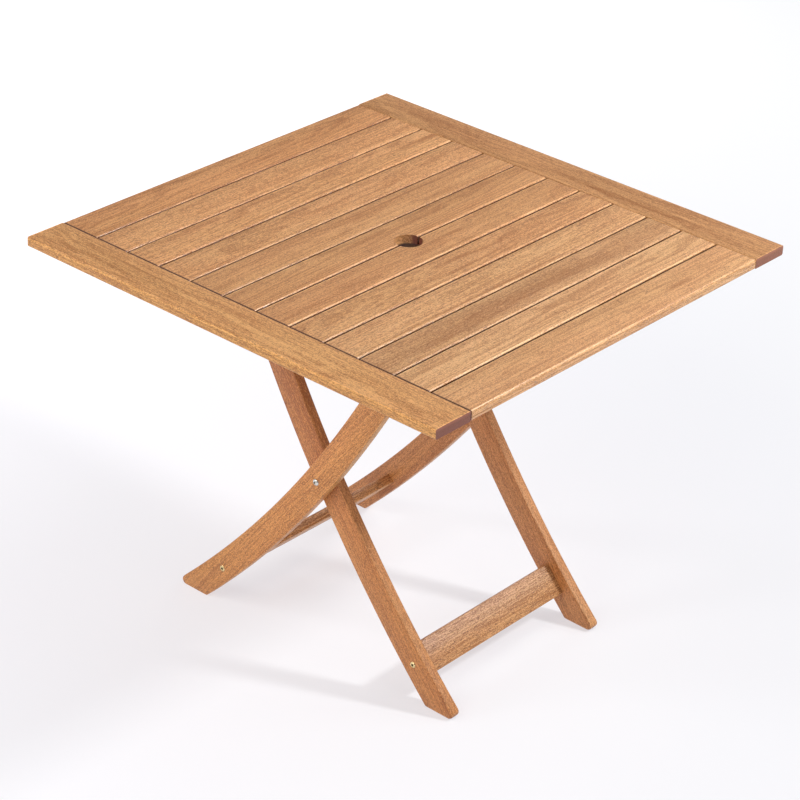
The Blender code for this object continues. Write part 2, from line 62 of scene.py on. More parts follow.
OUTER_SIDE = CAD_BOX[1].x
TOP_SURFACE = CAD_BOX[1].z
SLAT_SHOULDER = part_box("rail_back")[0].y    # from the middle to where slats meet the rails
POLE_HOLE_RADIUS = 0.0245
POLE_HOLE_LIT = 0.014        # how deep daylight reaches down the parasol hole

# ---- tones, linear RGB ---------------------------------------------------------------
SLAT_TONE = (0.60, 0.294, 0.124)
# each slat from -X to +X: lightness and paleness beside SLAT_TONE, painted highlight on its
# long edges
SLAT_LOOKS = (
    (0.99, 0.95, 0.10), (1.10, 1.01, 0.15), (1.06, 0.99, 0.45), (1.04, 1.01, 0.0),
    (0.95, 0.99, 0.05), (0.94, 0.98, 0.70), (0.92, 0.98, 1.0), (0.99, 1.01, 0.60),
    (1.04, 1.05, 0.30), (0.90, 1.06, 0.60), (1.06, 1.09, 0.80), (1.03, 1.05, 0.30),
)
RAIL_TONES = {"rail_front": (0.63, 0.31, 0.12), "rail_back": (0.51, 0.245, 0.10)}
RAIL_ENDS = {"rail_front": (0.205, 0.058, 0.031), "rail_back": (0.26, 0.085, 0.038)}
LEG_TONES = {
    "inner_leg_front": (0.59, 0.225, 0.063), "inner_leg_back": (0.57, 0.23, 0.073),
    "outer_leg_front": (0.65, 0.265, 0.072), "outer_leg_back": (0.57, 0.23, 0.075),
}
STRETCHER_TONES = {
    "inner_stretcher": (0.545, 0.262, 0.102), "outer_stretcher": (0.58, 0.270, 0.100),
    "top_bar": (0.58, 0.270, 0.100),
}
BATTEN_TONES = {
    "batten_front": (0.56, 0.250, 0.090), "batten_back": (0.54, 0.240, 0.086),
    "parasol_block": (0.58, 0.265, 0.098),
}
PORE = (0.150, 0.055, 0.022)
SEALED_END = (0.205, 0.058, 0.033)
# painted shade in the gaps between the slats
GAP_PAINTED_SHADE = (0.050, 0.018, 0.009)
BRASS = (0.93, 0.75, 0.40)
STEEL = (0.72, 0.71, 0.68)
# painted shade in the screws' sockets
SOCKET_PAINTED_SHADE = (0.050, 0.036, 0.018)

# what scales a tone, channel by channel
DARK_WOOD = (0.66, 0.54, 0.46)
LIGHT_WOOD = (1.25, 1.34, 1.46)
GOLDEN_WOOD = (0.98, 1.02, 1.01)
# painted highlight on rounded edges
PAINTED_HIGHLIGHT_WOOD = (1.52, 1.64, 1.76)
LATE_END_GRAIN = (0.75, 0.72, 0.75)
# sealer at the front seam, darker as painted shade of the joint
SEAM_SEALER_AND_SHADE = (0.42, 0.34, 0.34)
# painted shade down the parasol hole
BORE_PAINTED_SHADE = (0.6, 0.5, 0.5)
DULL_METAL = (0.72, 0.69, 0.64)

# ---- wood figure ---------------------------------------------------------------------
# layers of noise: size along and across the grain, detail, roughness. A layer's seed goes
# by its place here.
GRAIN = {
    "warp": (0.35, 0.060, 2.0, 0.55),
    "ripple": (0.08, 0.018, 2.0, 0.55),
    "streak": (0.50, 0.015, 4.0, 0.60),
    "cloud": (0.20, 0.045, 3.0, 0.55),
    "fibre": (0.090, 0.0020, 4.0, 0.65),
    "pore": (0.0075, 0.0011, 2.0, 0.55),
    "end_dot": (0.02, 0.0016, 2.0, 0.55),
    "speckle": (0.0032, 0.0013, 2.0, 0.70),
    "gold": (0.40, 0.070, 2.0, 0.55),
}
# values of a layer between which it comes in
PORE_LEVELS = (0.54, 0.68)
END_DOT_LEVELS = (0.50, 0.66)
GOLD_LEVELS = (0.35, 0.65)

RING_SPACING = 0.0052
LATE_WOOD_RISE = (0.25, 0.88)       # shares of a ring over which late wood comes in
LATE_WOOD_FALL = (0.90, 1.0)        # and goes again
LATE_WOOD_SHADE = 1.4       # how much it darkens, for each part that early wood lightens
WARP_BEND = 0.018           # how far the warp and the ripple push the rings
RIPPLE_BEND = 0.003
PITH_WANDER = 0.010         # how far the warp pushes the tree's middle sideways
CLOUD_SHADE = 0.32
MARK_WAVE = 0.8             # share of a mark's width by which the ripple bends it
KNOT_HEART = 0.30           # the dark heart's size, as a share of the knot's
KNOT_SHADE = 0.9
END_DOT_SHARE = 0.45
END_RING_SHARE = 0.35
# cosines of the angle to a face's own direction, between which its look comes in
SIDE_FACING = (0.60, 0.72)
END_FACING = (0.80, 0.95)
ROUGHNESS = {"plain": 0.43, "fibre": 0.12, "cloud": 0.06, "pore": 0.15, "late": -0.04,
             "polish": -0.15}
BUMP_HEIGHT = 0.00030
BUMP = {"pore": -0.8, "fibre": 0.45, "speckle": 0.25, "late": 0.15}    # of BUMP_HEIGHT

# ---- polish, sealer, painted highlights and painted shade ----------------------------
# each pair is the two distances from a surface between which the look comes or goes
POLISHED_BAND = (0.0030, 0.0010)    # from a slat's sides: smoother
HIGHLIGHT_STRIP = (0.0048, 0.00288)      # from a slat's sides: paler, as a painted highlight
HIGHLIGHT_DROP = (0.0012, 0.0004)        # from a slat's top: how far down that reaches
RIM_REACH = (0.0010, 0.0070)        # from the top's surface, for a painted highlight; half as far from its sides
GAP_FACE = (0.0010, 0.0003)         # from a slat's sides: the faces inside a gap
GAP_DEPTH = (0.0027, 0.0009)        # from a slat's top: they have painted shade below this
OUTER_FACE = (0.004, 0.002)         # from the top's own sides, which are clean
SEAM_LINE = (0.0020, 0.0040)        # from a slat's front shoulder: a line of sealer and painted shade
BORE_WALL = (0.0006, 0.0016)        # outwards from a hole's radius: its wall, with painted shade
BORE_FADE = 0.004                   # height over which that painted shade comes in
GAP_PAINTED_SHADE_SHARE = 0.90
SEAM_SHARE = 0.95
BORE_PAINTED_SHADE_SHARE = 0.85

# ---- metal ---------------------------------------------------------------------------
STEEL_ROUGHNESS = 0.24
BRASS_ROUGHNESS = 0.20
SCRATCH_SIZE = (0.0030, 0.0004, 0.0016)
SCRATCH_LEVELS = (0.50, 0.66)
SCRATCH_ROUGHNESS = 0.12
SCRATCH_BUMP = -0.10
DULL_SIZE = (0.0040, 0.0040, 0.0040)
DULL_LEVELS = (0.40, 0.70)
DULL_ROUGHNESS = 0.16
SOCKET_SHADE = (0.0022, 0.0011)     # from a screw's face: its socket has painted shade below this
SOCKET_PAINTED_SHADE_SHARE = 0.92
SOCKET_ROUGHNESS = 0.35

# ---- boards --------------------------------------------------------------------------
# marks darken (or lighten, below 0) and knots bend the rings and have a dark heart:
# ((along, across) from the board's middle, (size), strength). Slats' back ends are at +along.
SLAT_MARKS = {
    "slat_03": [((0.36, 0.004), (0.075, 0.006), 0.9), ((0.22, 0.010), (0.10, 0.006), -0.3)],
    "slat_05": [((0.10, 0.018), (0.20, 0.004), 0.35)],
    "slat_07": [((-0.20, -0.012), (0.15, 0.005), 0.4)],
    "slat_09": [((-0.02, -0.027), (0.30, 0.0035), 0.8)],
    "slat_10": [((-0.08, 0.002), (0.50, 0.024), 0.25)],
}
SLAT_KNOTS = {
    "slat_10": [((-0.13, 0.006), (0.045, 0.013), 0.020)],
    "slat_12": [((0.20, -0.004), (0.11, 0.012), 0.012)],
}
RAIL_MARKS = {
    "rail_front": [((-0.25, 0.01), (0.20, 0.006), 0.3)],
    "rail_back": [((0.22, -0.010), (0.16, 0.008), 0.6), ((-0.30, 0.006), (0.09, 0.010), 0.5)],
}
# the inner front leg's mark is painted shade under the table top
LEG_PAINTED_SHADE = {"inner_leg_front": [((-0.20, 0.0), (0.13, 0.06), 0.50)]}
# the outer stretcher's dark mark is a painted shadow of the legs at its back end, and its pale
# mark a painted patch of light
STRETCHER_PAINTED_LIGHT = {
    "outer_stretcher": [((0.30, 0.0), (0.07, 0.05), 1.1), ((0.14, 0.010), (0.09, 0.006), -0.9)],
}
RAIL_SLOPES = {"rail_front": 0.025, "rail_back": -0.025}
# noise seeds: the first one, and the step from each piece to the next
SEEDS = {"slat": (0.0, 3.17), "rail": (51.3, 7), "batten": (71.9, 5), "leg": (90.7, 6),
         "stretcher": (121.1, 4), "brass": (0.0, 1.7), "steel": (8.3, 0)}
# arguments of wood()
SLAT_STYLE = {"fibres": 1.45, "speckles": 2.3, "pores": 0.70, "edge_tone": (1.0, 0.98, 0.88)}
# painted highlight on the outer slats' upper edges
OUTER_SLAT_RIM_HIGHLIGHT = 0.5
# the rails' rim share is a painted highlight on their rounded upper edges
RAIL_STYLE = {"fibres": 1.3, "speckles": 2.3, "pores": 0.68, "pith": (-0.015, 0.038),
              "edge_tone": (0.96, 0.90, 0.61), "rim_highlight": 0.8}
LEG_STYLE = {"face": "w", "fibres": 1.35, "speckles": 2.6, "coarse": 0.75, "pores": 0.75,
             "pith": (0.010, 0.040), "slope": 0.02, "rings": 0.07, "streaks": 0.55,
             "edge_tone": (0.97, 1.09, 1.28)}
STRETCHER_STYLE = {"face": "w", "fibres": 3.0, "speckles": 3.4, "coarse": 1.05, "pores": 0.95,
                   "rings": 0.12, "streaks": 1.21, "edge_tone": (0.92, 0.96, 1.04)}
GRAIN_ALONG_X = (0, 0, 0)
GRAIN_ALONG_Y = (0, 0, pi / 2)

SMOOTH_ANGLE = radians(38)
WELD_DISTANCE = 1e-5

# ---- batten screws -------------------------------------------------------------------
SCREW_HEAD_RADIUS = 0.0040
SCREW_HEAD_SINK = 0.0022
SCREW_HEAD_PROUD = 0.0001
SCREW_BEVEL = 0.0004
SCREW_NECK = 0.50            # radii, as shares of the head's
SCREW_SHANK = 0.42
SCREW_SHANK_LENGTH = 0.006
SCREW_TIP = 0.001
SCREW_SIDES = 28
SCREW_TURN = 0.7             # from one screw's cross to the next one's, in radians
SCREW_EDGE_MARGIN = 0.036    # keeps the outer screws off the battens' tapered ends
CROSS_SLOT = (0.0044, 0.0010, 0.0016)
LEVEL = 0.99                 # least vertical part of a level face's normal

# ---- camera and light ----------------------------------------------------------------
CAMERA_TARGET = Vector((0.0337, -0.0446, 0.450))
CAMERA_AZIMUTH = radians(40.615)
CAMERA_ELEVATION = radians(29.187)
CAMERA_DISTANCE = 4.6297
CAMERA_ROLL = radians(2.435)
CAMERA_LENS = 122.29
SENSOR = 36.0
WHITE = (1.0, 1.0, 1.0)
KEY_AZIMUTH = 40
LIGHTS_TARGET = Vector((0, 0, 0.4))
# name: azimuth (0 is +X) and elevation in degrees, distance, width, brightness, colour
SOFTBOXES = {
    "key": (KEY_AZIMUTH, 42, 4.0, 0.5, 0.62, WHITE),
    "fill": (222, 28, 4.5, 1.2, 0.20, WHITE),
    "front": (-95, 38, 5.0, 3.0, 0.27, (1.0, 0.96, 0.86)),
    "side": (0, 28, 5.0, 2.0, 0.07, WHITE),
    "rim": (69, 47, 4.0, 2.2, 0.29, WHITE),
}
STUDIO_TONE = (1.0, 0.995, 1.0)
STUDIO_BRIGHTNESS = 0.25
FLOOR_SIZE = 60.0
FLOOR_TONE = (0.38, 0.39, 0.40)
FLOOR_GLOW_REACH = (0.6, 3.5)           # from the middle: where the glow turns to its far tone
FLOOR_GLOW_NEAR = (0.505, 0.497, 0.525)
FLOOR_GLOW_FAR = (0.80, 0.80, 0.81)
FLOOR_GLOW_SLOPE = 0.22                 # per metre; evens out the floor under the key light
FLOOR_GLOW_SPAN = 0.35                  # where the slope levels out, either way
FLOOR_GLOW_GAIN = (-0.16, 0.42)         # what it adds to the glow at either end


# ---- shader graphs -------------------------------------------------------------------
class Graph:
    """A new material's node tree, with short ways to add nodes to it."""

    def __init__(self, name):
        self.material = bpy.data.materials.new(name)
        self.material.use_nodes = True
        self.tree = self.material.node_tree
        self.shader = self.tree.nodes["Principled BSDF"]

    def feed(self, socket, value):
        """Link value to the socket, or set the socket where value is a plain one."""
        if isinstance(value, bpy.types.NodeSocket):
            self.tree.links.new(value, socket)
        else:
            socket.default_value = value

    def add(self, kind, inputs, output=0, **settings):
        """That output of a new node, whose inputs are given by name or number."""
        node = self.tree.nodes.new(kind)
        for name, value in settings.items():
            setattr(node, name, value)
        for key, value in inputs.items():
            self.feed(node.inputs[key], value)
        return node.outputs[output]

    def split(self, vector):
        """The vector's X, Y and Z."""
        node = self.tree.nodes.new("ShaderNodeSeparateXYZ")
        self.feed(node.inputs[0], vector)
        return node.outputs

    def maths(self, operation, *values):
        return self.add("ShaderNodeMath", dict(enumerate(values)), operation=operation)

    def vector_maths(self, operation, *values, output=0):
        return self.add("ShaderNodeVectorMath", dict(enumerate(values)), output,
                        operation=operation)

    def times(self, a, b):
        return self.maths("MULTIPLY", a, b)

    def total(self, *values):
        result = values[0]
        for value in values[1:]:
            result = self.maths("ADD", result, value)
        return result

    def magnitude(self, value):
        return self.maths("ABSOLUTE", value)

    def ramp(self, value, low, high, out_low=0.0, out_high=1.0):
        """Smooth step of value from low to high."""
        return self.add("ShaderNodeMapRange",
                        {0: value, 1: low, 2: high, 3: out_low, 4: out_high},
                        interpolation_type="SMOOTHSTEP")

    def fade(self, value, low, high):
        """1 up to low and 0 from high on."""
        return self.ramp(value, low, high, 1.0, 0.0)

    def mix(self, factor, a, b, blend="MIX"):
        """Colour a where factor is 0, and b, or a blended with b, where it is 1."""
        return self.add("ShaderNodeMix", {0: factor, 6: a, 7: b}, output=2,
                        data_type="RGBA", blend_type=blend)

    def scaled(self, colour, scale):
        return self.mix(1.0, colour, rgba(scale), "MULTIPLY")

    def cover(self, colour, mask, share, other):
        """The colour, with that share of the other one over it where the mask is 1."""
        return self.mix(self.times(mask, share), colour, other)

    def noise(self, place, size, seed, detail=3.0, roughness=0.55):
        """Noise whose features have that size along each axis of place."""
        scaled = self.vector_maths("MULTIPLY", place, tuple(1 / s for s in size))
        return self.add("ShaderNodeTexNoise",
                        {"Vector": scaled, "W": seed, "Scale": 1.0, "Detail": detail,
                         "Roughness": roughness}, noise_dimensions="4D")

    def signed(self, noise, amount):
        """The noise about 0, reaching roughly amount either way."""
        return self.maths("MULTIPLY_ADD", noise, 2 * amount, -amount)

    def complete(self, colour, roughness, height):
        """The material, with those on its shader. height is a share of BUMP_HEIGHT."""
        self.feed(self.shader.inputs["Base Color"], colour)
        self.feed(self.shader.inputs["Roughness"], roughness)
        bump = self.add("ShaderNodeBump",
                        {"Strength": 1.0, "Distance": BUMP_HEIGHT, "Height": height})
        self.feed(self.shader.inputs["Normal"], bump)
        return self.material


def rgba(tone, scale=(1, 1, 1)):
    return (*(t * s for t, s in zip(tone, scale)), 1.0)


def inwards(surface, distances):
    return [surface - distance for distance in distances]


def seed_of(kind, index=0):
    first, step = SEEDS[kind]
    return first + step * index


# ---- wood ----------------------------------------------------------------------------
class Board(Graph):
    """The graph of a board's material, with coordinates that follow its grain.

    turn lays u on the grain. face is v or w, whichever runs across the wide face; across
    is that one, and behind is the other.
    """

    def __init__(self, name, box, turn, seed, face):
        super().__init__("wood_" + name)
        low, high = box
        self.half = (high - low) / 2
        self.seed = seed
        texture = self.tree.nodes.new("ShaderNodeTexCoord")
        self.position = texture.outputs["Object"]
        self.place = self.add("ShaderNodeMapping",
                              {"Vector": self.position, "Location": (low + high) / 2,
                               "Rotation": turn}, vector_type="TEXTURE")
        self.u, self.v, self.w = self.split(self.place)
        self.across, self.behind = (self.v, self.w) if face == "v" else (self.w, self.v)
        normal = self.add("ShaderNodeVectorRotate",
                          {"Vector": texture.outputs["Normal"], "Rotation": turn},
                          rotation_type="EULER_XYZ", invert=True)
        along, *sideways = self.split(normal)
        self.endness = self.magnitude(along)
        self.sideness = self.magnitude(sideways[0 if face == "v" else 1])

    def layer(self, name, coarse=1.0):
        """That layer of GRAIN, coarser by that factor."""
        along, across, detail, roughness = GRAIN[name]
        size = (coarse * along, coarse * across, coarse * across)
        offset = 1 + list(GRAIN).index(name)
        return self.noise(self.place, size, self.seed + offset, detail, roughness)

    def spot(self, across, at, size):
        """Soft oval that is 1 at its middle. at and size are (along, across) the grain."""
        terms = []
        for value, middle, reach in zip((self.u, across), at, size):
            offset = self.maths("MULTIPLY_ADD", value, 1 / reach, -middle / reach)
            terms.append(self.times(offset, offset))
        return self.maths("EXPONENT", self.times(self.total(*terms), -1.0))


def late_wood(board, warp, ripple, pith, slope, knots):
    """The dark part of each ring of the tree."""
    bend = board.total(board.signed(warp, WARP_BEND), board.signed(ripple, RIPPLE_BEND))
    for at, size, strength in knots:
        bend = board.total(bend, board.times(board.spot(board.across, at, size), strength))
    side = board.total(board.across, board.signed(warp, PITH_WANDER), -pith[0])
    depth = board.total(board.behind, board.maths("MULTIPLY_ADD", board.u, slope, pith[1]))
    radius = board.maths("SQRT", board.total(board.times(side, side),
                                             board.times(depth, depth)))
    ring = board.maths("FRACT", board.maths("DIVIDE", board.total(radius, bend), RING_SPACING))
    return board.times(board.ramp(ring, *LATE_WOOD_RISE), board.fade(ring, *LATE_WOOD_FALL))


def end_grain(board, late, tone):
    """Colour of the sealed end grain."""
    dots = board.ramp(board.layer("end_dot"), *END_DOT_LEVELS)
    colour = board.cover(rgba(tone), dots, END_DOT_SHARE, rgba(PORE))
    return board.cover(colour, late, END_RING_SHARE, rgba(tone, LATE_END_GRAIN))


def paint_slat_highlight(board, colour, edge_highlight):
    """Painted highlight: pales a slat's long rounded edges by that share."""
    strip = board.ramp(board.magnitude(board.v), *inwards(board.half.x, HIGHLIGHT_STRIP))
    upper = board.ramp(board.w, *inwards(board.half.z, HIGHLIGHT_DROP))
    return board.cover(colour, board.times(strip, upper), edge_highlight,
                       board.scaled(colour, PAINTED_HIGHLIGHT_WOOD))


def darken_gaps(board, colour):
    """Painted shade on a slat's sides inside the gaps, but not on the top's own outer sides."""
    sunk = board.fade(board.w, *inwards(board.half.z, GAP_DEPTH))
    side = board.ramp(board.magnitude(board.v), *inwards(board.half.x, GAP_FACE))
    x = board.split(board.position)[0]
    inner = board.fade(board.magnitude(x), *inwards(OUTER_SIDE, OUTER_FACE))
    painted_shade = board.times(board.times(sunk, side), inner)
    return board.cover(colour, painted_shade, GAP_PAINTED_SHADE_SHARE, rgba(GAP_PAINTED_SHADE))


def seal_and_shade_seam(board, colour):
    """Line of sealer where a slat's front shoulder meets its rail, darkened as painted shade of
    the joint.
    """
    seam = board.fade(board.u, *(distance - SLAT_SHOULDER for distance in SEAM_LINE))
    return board.cover(colour, seam, SEAM_SHARE, rgba(SEALED_END, SEAM_SEALER_AND_SHADE))


def paint_rim_highlight(board, colour, share):
    """Painted highlight: pales the upper edges round the whole top by that share."""
    x, y, z = board.split(board.position)
    inset = board.maths("MINIMUM", *(
        board.maths("SUBTRACT", side, board.magnitude(value))
        for side, value in zip(CAD_BOX[1], (x, y))))
    drop = board.maths("SUBTRACT", TOP_SURFACE, z)
    rim = board.fade(board.maths("MULTIPLY_ADD", inset, 2.0, drop), *RIM_REACH)
    return board.cover(colour, rim, share, board.scaled(colour, PAINTED_HIGHLIGHT_WOOD))


def darken_bore(board, colour, radius, lit_height):
    """Painted shade in the hole about world Z, below that height."""
    flat = board.vector_maths("MULTIPLY", board.position, (1, 1, 0))
    reach = board.vector_maths("LENGTH", flat, output=1)
    wall = board.fade(reach, *(radius + distance for distance in BORE_WALL))
    z = board.split(board.position)[2]
    deep = board.fade(z, lit_height - BORE_FADE, lit_height)
    return board.cover(colour, board.times(wall, deep), BORE_PAINTED_SHADE_SHARE,
                       rgba(GAP_PAINTED_SHADE, BORE_PAINTED_SHADE))


def wood(name, tone, box, turn, seed, face="v", pith=(0.012, 0.045), slope=0.03,
         rings=0.16, streaks=0.616, fibres=0.75, speckles=1.5, pores=0.48, coarse=1.0,
         marks=(), knots=(), edge_tone=None, end_tone=SEALED_END, edge_highlight=None, rim_highlight=0.0,
         bore=None):
    """Oiled hardwood board that fills box.

    turn lays the local X axis on the grain. face is the local axis across the wide face,
    v or w. pith is the tree's middle, across and behind that face, and slope is how fast
    it runs out of the board. rings, streaks, fibres, speckles and pores are how strongly
    each shows, and coarse is the size of the speckles and the pores.
    edge_tone scales the colour of the narrow faces.
    end_tone is the colour of the sealed end grain.
    edge_highlight is for a slat: the share by which its long edges are painted pale, as a
    highlight.
    rim_highlight is that share of painted highlight for the upper edges round the whole top.
    bore is (radius, height) of the parasol hole, which has painted shade below that height.
    """
    board = Board(name, box, turn, seed, face)
    warp, ripple, streak, cloud, fibre = (
        board.layer(layer) for layer in ("warp", "ripple", "streak", "cloud", "fibre"))
    speckle = board.layer("speckle", coarse)
    pore = board.ramp(board.layer("pore", coarse), *PORE_LEVELS)
    late = late_wood(board, warp, ripple, pith, slope, knots)

    # 0 is dark, 0.5 the board's own tone and 1 light
    shade = board.total(
        0.5, board.signed(streak, streaks), board.signed(cloud, CLOUD_SHADE),
        board.signed(fibre, fibres), board.signed(speckle, speckles),
        board.maths("MULTIPLY_ADD", late, -rings * (1 + LATE_WOOD_SHADE), rings))
    for at, size, strength in marks:
        wavy = board.total(board.across, board.signed(ripple, size[1] * MARK_WAVE))
        shade = board.total(shade, board.times(board.spot(wavy, at, size), -strength))
    for at, size, _ in knots:
        heart = board.spot(board.across, at, [KNOT_HEART * s for s in size])
        shade = board.total(shade, board.times(heart, -KNOT_SHADE))

    colour = board.mix(board.ramp(shade, 0.0, 0.5), rgba(tone, DARK_WOOD), rgba(tone))
    colour = board.mix(board.ramp(shade, 0.5, 1.0), colour, rgba(tone, LIGHT_WOOD))
    if edge_tone:
        colour = board.mix(board.ramp(board.sideness, *SIDE_FACING), colour,
                           board.scaled(colour, edge_tone))
    golden = board.ramp(board.layer("gold"), *GOLD_LEVELS)
    colour = board.mix(golden, colour, board.scaled(colour, GOLDEN_WOOD))
    colour = board.cover(colour, pore, pores, rgba(PORE))

    roughness = board.total(
        ROUGHNESS["plain"], board.signed(fibre, ROUGHNESS["fibre"]),
        board.signed(cloud, ROUGHNESS["cloud"]), board.times(pore, ROUGHNESS["pore"]),
        board.times(late, ROUGHNESS["late"]))
    if edge_highlight is not None:
        polish = board.ramp(board.magnitude(board.v), *inwards(board.half.x, POLISHED_BAND))
        roughness = board.total(roughness, board.times(polish, ROUGHNESS["polish"]))
        # painted highlight on the slat's long edges
        colour = paint_slat_highlight(board, colour, edge_highlight)
        # painted shade deep in the gaps
        colour = darken_gaps(board, colour)
        # sealer and painted shade along the front seam
        colour = seal_and_shade_seam(board, colour)
    colour = board.mix(board.ramp(board.endness, *END_FACING), colour,
                       end_grain(board, late, end_tone))
    # painted highlight round the top's upper edges
    if rim_highlight:
        colour = paint_rim_highlight(board, colour, rim_highlight)
    if bore:
        colour = darken_bore(board, colour, *bore)

    height = board.total(
        board.times(pore, BUMP["pore"]), board.signed(fibre, BUMP["fibre"]),
        board.signed(speckle, BUMP["speckle"]), board.times(late, BUMP["late"]))
    return board.complete(colour, roughness, height)


# ---- metal ---------------------------------------------------------------------------
def metal(name, tone, roughness, seed, face=None):
    """Plated metal with fine scratches and dulled patches.

    face is how far from the XZ plane a screw's face is, for the painted shade in its socket.
    """
    g = Graph("metal_" + name)
    g.shader.inputs["Metallic"].default_value = 1.0
    place = g.tree.nodes.new("ShaderNodeTexCoord").outputs["Object"]
    scratch = g.ramp(g.noise(place, SCRATCH_SIZE, seed, detail=4.0, roughness=0.7),
                     *SCRATCH_LEVELS)
    dull = g.noise(place, DULL_SIZE, seed + 1)
    colour = g.mix(g.ramp(dull, *DULL_LEVELS), rgba(tone), rgba(tone, DULL_METAL))
    rough = g.total(roughness, g.signed(dull, DULL_ROUGHNESS),
                    g.times(scratch, SCRATCH_ROUGHNESS))
    if face:
        # painted shade in the screw's socket
        distance = g.magnitude(g.split(place)[1])
        sunk = g.fade(distance, *inwards(face, SOCKET_SHADE))
        colour = g.cover(colour, sunk, SOCKET_PAINTED_SHADE_SHARE, rgba(SOCKET_PAINTED_SHADE))
        rough = g.total(rough, g.times(sunk, SOCKET_ROUGHNESS))
    return g.complete(colour, rough, g.times(scratch, SCRATCH_BUMP))


# ---- the frame's nodes ---------------------------------------------------------------
def smoothing_group():
    """Geometry nodes: weld the facets and shade them smooth up to a set angle."""
    group = bpy.data.node_groups.new("smooth_by_angle", "GeometryNodeTree")
    group.interface.new_socket("Geometry", in_out="INPUT", socket_type="NodeSocketGeometry")
    group.interface.new_socket("Geometry", in_out="OUTPUT", socket_type="NodeSocketGeometry")
    nodes, links = group.nodes, group.links
    entry = nodes.new("NodeGroupInput")
    leave = nodes.new("NodeGroupOutput")
    weld = nodes.new("GeometryNodeMergeByDistance")
    weld.inputs["Distance"].default_value = WELD_DISTANCE
    links.new(entry.outputs[0], weld.inputs["Geometry"])
    last = weld.outputs["Geometry"]
    for attribute in ("custom_normal", "sharp_edge", "sharp_face"):
        remove = nodes.new("GeometryNodeRemoveAttribute")
        remove.inputs["Name"].default_value = attribute
        links.new(last, remove.inputs["Geometry"])
        last = remove.outputs["Geometry"]
    faces = nodes.new("GeometryNodeSetShadeSmooth")
    faces.domain = "FACE"
    faces.inputs["Shade Smooth"].default_value = True
    links.new(last, faces.inputs["Geometry"])
    angle = nodes.new("GeometryNodeInputMeshEdgeAngle")
    sharp = nodes.new("FunctionNodeCompare")
    sharp.operation = "GREATER_THAN"
    sharp.inputs["B"].default_value = SMOOTH_ANGLE
    links.new(angle.outputs["Unsigned Angle"], sharp.inputs["A"])
    edges = nodes.new("GeometryNodeSetShadeSmooth")
    edges.domain = "EDGE"
    edges.inputs["Shade Smooth"].default_value = False
    links.new(faces.outputs["Geometry"], edges.inputs["Geometry"])
    links.new(sharp.outputs["Result"], edges.inputs["Selection"])
    links.new(edges.outputs["Geometry"], leave.inputs[0])
    return group


def centre_of(name):
    low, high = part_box(name)
    return (low + high) / 2


def dress(name, material):
    NODES[name].material_slots[0].material = material


def slat_figure(index):
    """Arguments of wood() that give each slat a cut of its own from the tree."""
    swing, rise, tilt = sin(index * 2.4), cos(index * 1.7), sin(index * 1.1)
    return {"pith": (0.022 * swing, 0.030 + 0.022 * rise), "slope": 0.020 + 0.022 * tilt,
            "rings": 0.15 + 0.05 * swing}


def dress_top():
    pole_hole = (POLE_HOLE_RADIUS, TOP_SURFACE - POLE_HOLE_LIT)
    for index, (lightness, paleness, edge_highlight) in enumerate(SLAT_LOOKS, 1):
        name = f"slat_{index:02d}"
        tone = rgba(SLAT_TONE, (lightness, lightness * paleness, lightness * paleness ** 2))[:3]
        dress(name, wood(name, tone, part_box(name), GRAIN_ALONG_Y, seed_of("slat", index),
                         marks=SLAT_MARKS.get(name, ()), knots=SLAT_KNOTS.get(name, ()),
                         edge_highlight=edge_highlight,
                         rim_highlight=OUTER_SLAT_RIM_HIGHLIGHT if index in (1, len(SLAT_LOOKS)) else 0.0,
                         bore=pole_hole if name in ("slat_06", "slat_07") else None,
                         **slat_figure(index), **SLAT_STYLE))
    for index, (name, tone) in enumerate(RAIL_TONES.items()):
        dress(name, wood(name, tone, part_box(name), GRAIN_ALONG_X, seed_of("rail", index),
                         slope=RAIL_SLOPES[name], marks=RAIL_MARKS[name],
                         end_tone=RAIL_ENDS[name], **RAIL_STYLE))
    for index, (name, tone) in enumerate(BATTEN_TONES.items()):
        upright = name.startswith("batten")
        dress(name, wood(name, tone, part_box(name), GRAIN_ALONG_X, seed_of("batten", index),
                         face="w" if upright else "v", bore=None if upright else pole_hole))


def dress_legs():
    for index, (name, tone) in enumerate(LEG_TONES.items()):
        low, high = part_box(name)
        lean = atan2(high.z - low.z, high.x - low.x)
        turn = (0, lean if name.startswith("inner") else pi - lean, 0)
        dress(name, wood(name, tone, (low, high), turn, seed_of("leg", index),
                         marks=LEG_PAINTED_SHADE.get(name, ()), **LEG_STYLE))
    for index, (name, tone) in enumerate(STRETCHER_TONES.items()):
        dress(name, wood(name, tone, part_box(name), GRAIN_ALONG_Y, seed_of("stretcher", index),
                         marks=STRETCHER_PAINTED_LIGHT.get(name, ()), **STRETCHER_STYLE))


def dress_fasteners():
    """Dresses the frame's fasteners, and gives back the steel for the added screws."""
    slots = {part["node"]: part["material_slot"] for part in frame["record"]["subparts"]}
    steel = metal("steel", STEEL, STEEL_ROUGHNESS, seed_of("steel"))
    for index, (name, slot) in enumerate(slots.items()):
        if slot == "brass":
            low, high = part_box(name)
            dress(name, metal(name, BRASS, BRASS_ROUGHNESS, seed_of("brass", index),
                              max(-low.y, high.y)))
        elif slot == "steel":
            dress(name, steel)
    return steel


# ---- the added screws ----------------------------------------------------------------
def mesh_of(bm, name):
    """Mesh made from bm, which is freed."""
    mesh = bpy.data.meshes.new(name)
    bm.to_mesh(mesh)
    bm.free()
    return mesh


def add_object(name, data):
    obj = bpy.data.objects.new(name, data)
    bpy.context.scene.collection.objects.link(obj)
    return obj


